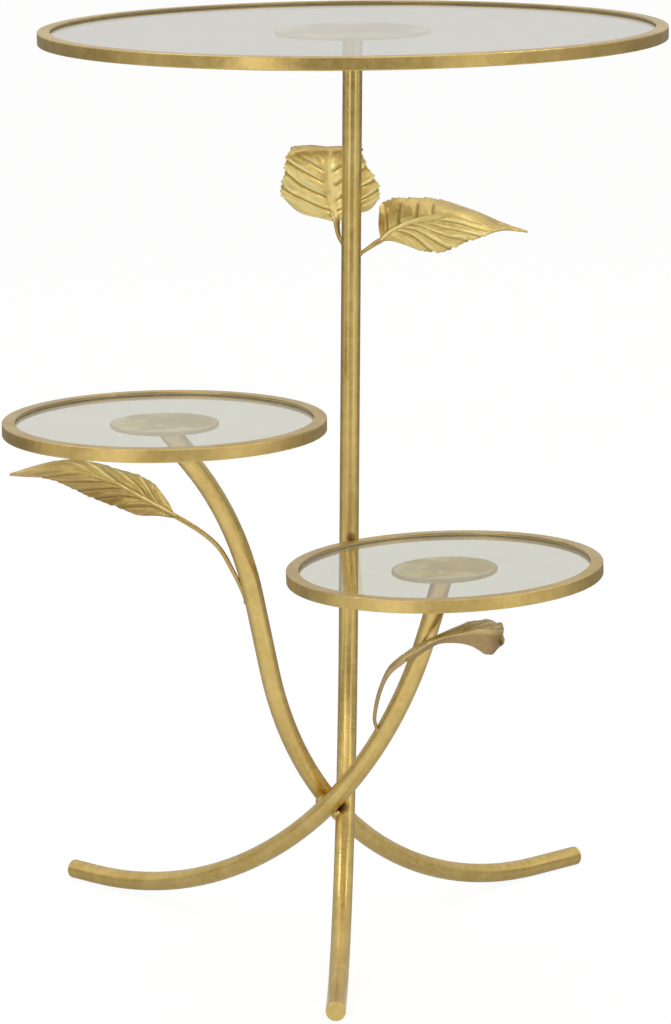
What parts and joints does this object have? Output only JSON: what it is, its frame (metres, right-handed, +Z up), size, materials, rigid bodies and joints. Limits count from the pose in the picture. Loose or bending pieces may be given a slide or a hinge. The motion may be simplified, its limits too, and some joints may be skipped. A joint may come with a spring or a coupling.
{
  "type": "tiered side table",
  "caption": "Tripod side table of bent gold metal tube with a large round glass top, smaller round glass side trays at staggered heights and pressed metal leaves.",
  "frame": {"origin": "centre of the bounding box on the floor plane, under the tripod's legs", "axes": "+Z up, -Y to the front where the upright's foot points, +X to the viewer's right, the side of the lower side tray"},
  "size_m": [0.531, 0.5428, 0.75],
  "materials": {
    "gold_frame": "satin antique gold lacquer on steel",
    "gold_leaf": "satin antique gold lacquer with darker grooves on pressed steel",
    "gold_plate": "satin gold lacquer, seen through the glass",
    "clear_glass": "clear polished float glass",
    "glazing_seal": "clear to honey-coloured glazing strip",
    "plate_adhesive": "clear adhesive film with swirl marks"
  },
  "bodies": {
    "root": {"front_foot_cap": "gold_frame", "hub_weld_front": "gold_frame", "hub_weld_rear": "gold_frame", "hub_weld_side": "gold_frame", "left_bond": "plate_adhesive", "left_branch_tube": "gold_frame", "left_glass": "clear_glass", "left_plate": "gold_plate", "left_plate_weld": "gold_frame", "left_rear_foot_cap": "gold_frame", "left_rim": "gold_frame", "left_seal": "glazing_seal", "lower_left_leaf_blade": "gold_leaf", "lower_left_leaf_stem": "gold_leaf", "lower_left_stem_weld": "gold_frame", "lower_right_leaf_blade": "gold_leaf", "lower_right_leaf_stem": "gold_leaf", "lower_right_stem_weld": "gold_frame", "right_bond": "plate_adhesive", "right_branch_tube": "gold_frame", "right_glass": "clear_glass", "right_plate": "gold_plate", "right_plate_weld": "gold_frame", "right_rear_foot_cap": "gold_frame", "right_rim": "gold_frame", "right_seal": "glazing_seal", "rim_weld": "gold_frame", "top_bond": "plate_adhesive", "top_glass": "clear_glass", "top_plate": "gold_plate", "top_plate_weld": "gold_frame", "top_rim": "gold_frame", "top_seal": "glazing_seal", "upper_left_leaf_blade": "gold_leaf", "upper_left_leaf_stem": "gold_leaf", "upper_left_stem_weld": "gold_frame", "upper_right_leaf_blade": "gold_leaf", "upper_right_leaf_stem": "gold_leaf", "upper_right_stem_weld": "gold_frame", "upright_tube": "gold_frame"}
  },
  "joints": []
}
